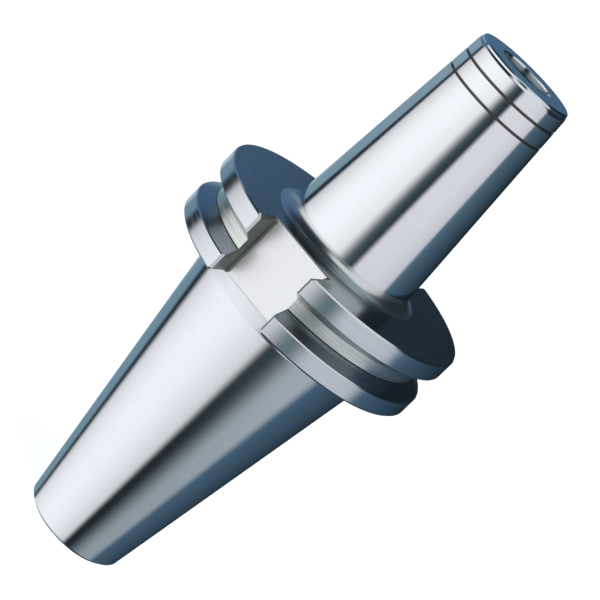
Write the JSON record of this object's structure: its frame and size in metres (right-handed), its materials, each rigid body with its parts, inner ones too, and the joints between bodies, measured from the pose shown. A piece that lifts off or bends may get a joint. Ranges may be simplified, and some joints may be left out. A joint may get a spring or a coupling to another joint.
{
  "type": "shrink fit tool holder",
  "caption": "Steep taper shank, V-grooved flange with drive slots and slim conical nose, whose bore grips a cutter's plain shank by heat shrinking against a length stop screw.",
  "frame": {"origin": "centre of the small end face of the shank, on which the part stands", "axes": "+Z along the tool axis towards the nose, with the deeper drive slot facing -Y and the other facing +Y"},
  "size_m": [0.0636, 0.0612, 0.1402],
  "materials": {
    "ground_steel": "hardened steel, finely ground and polished",
    "blackened_steel": "black oxide"
  },
  "bodies": {
    "holder": {"holder_body": "ground_steel"},
    "stop_screw": {"length_stop_screw": "blackened_steel"}
  },
  "joints": [
    {"name": "length_stop_adjustment", "type": "slide", "parent": "holder", "child": "stop_screw", "axis": [0, 0, 1], "range_m": [0, 0.01]}
  ]
}
